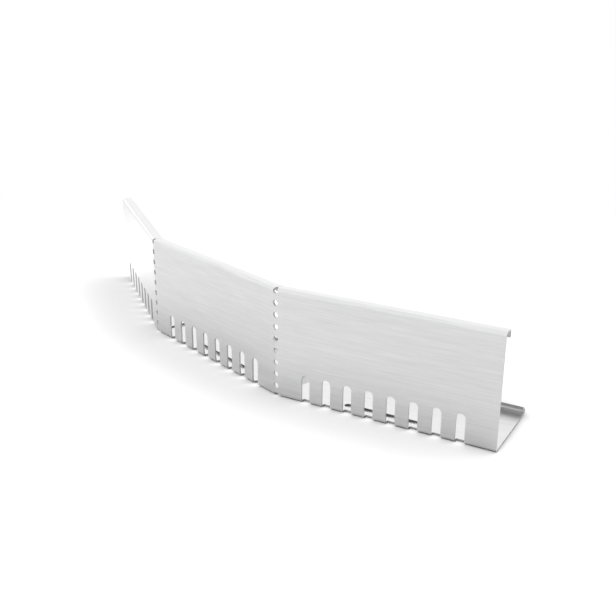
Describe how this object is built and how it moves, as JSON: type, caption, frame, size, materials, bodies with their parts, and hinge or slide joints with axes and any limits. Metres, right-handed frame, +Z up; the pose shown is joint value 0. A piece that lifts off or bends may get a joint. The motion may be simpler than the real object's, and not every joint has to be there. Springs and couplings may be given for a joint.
{
  "type": "bendable gravel stop edging",
  "caption": "Slotted L-shaped steel edging with a flat base, a turned-over top and perforated lines along which its panels bend into a curve.",
  "frame": {"origin": "on the surface that the base rests on, at the middle of the whole outline at rest, so it lies on the plane of symmetry between the two outer panels", "axes": "+X along the middle panel, +Z up from the base, -Y the side that the slotted face looks towards; the base reaches back towards +Y"},
  "size_m": [0.5764, 0.1418, 0.1],
  "materials": {
    "brushed_sheet": "fine brushed grain along the panels, bright cut edges",
    "bent_web": "as the sheet, slightly duller where it has been bent"
  },
  "bodies": {
    "middle": {"middle_panel": "brushed_sheet", "left_bend_webs": "bent_web", "right_bend_webs": "bent_web"},
    "left": {"left_panel": "brushed_sheet"},
    "right": {"right_panel": "brushed_sheet"}
  },
  "joints": [
    {"name": "left_bend", "type": "hinge", "parent": "middle", "child": "left", "pos_m": [-0.1, -0.07012, 0.05], "axis": [0, 0, -1], "range_deg": [-20, 0]},
    {"name": "right_bend", "type": "hinge", "parent": "middle", "child": "right", "pos_m": [0.1, -0.07012, 0.05], "axis": [0, 0, 1], "range_deg": [-20, 0]}
  ]
}
